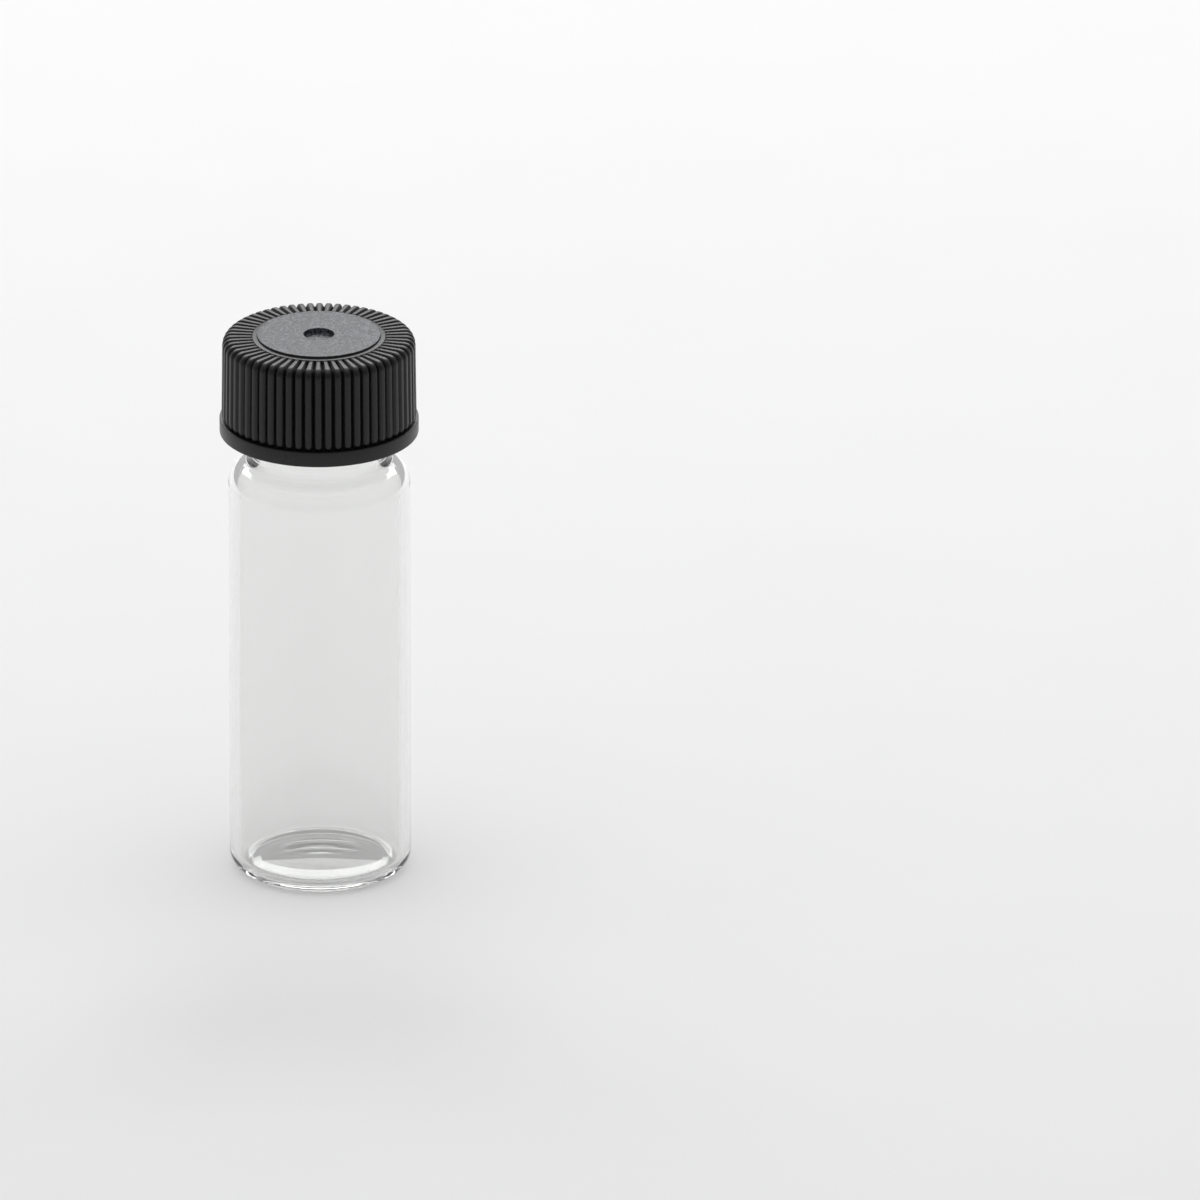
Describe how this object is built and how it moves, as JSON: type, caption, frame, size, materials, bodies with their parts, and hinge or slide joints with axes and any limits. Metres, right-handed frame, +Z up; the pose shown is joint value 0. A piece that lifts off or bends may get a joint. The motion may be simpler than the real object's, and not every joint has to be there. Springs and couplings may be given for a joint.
{
  "type": "glass sample vial",
  "caption": "Clear glass sample vial with a flat foot, rounded shoulder and threaded neck, closed by a ribbed black screw cap with a sealing liner.",
  "frame": {"origin": "centre of the flat foot, on the axis of the vial", "axes": "+Z up the axis of the vial towards the cap; +X points at the middle of one grip rib, where the glass thread starts"},
  "size_m": [0.0164, 0.0164, 0.0471],
  "materials": {
    "clear_glass": "clear and smooth",
    "black_plastic": "matte moulded",
    "liner_rubber": "smooth"
  },
  "bodies": {
    "vial": {"glass_vial": "clear_glass"},
    "liner": {"cap_liner": "liner_rubber"},
    "cap": {"screw_cap": "black_plastic"}
  },
  "joints": [
    {"name": "cap_lift", "type": "slide", "parent": "vial", "child": "liner", "axis": [0, 0, 1], "range_m": [0, 0.00291]},
    {"name": "cap_turn", "type": "hinge", "parent": "liner", "child": "cap", "pos_m": [0, 0, 0.045], "axis": [0, 0, 1], "range_deg": [0, 495]}
  ],
  "couplings": [
    {"joint": "cap_turn", "follows": "cap_lift", "rad_per_m": 2968.4}
  ]
}
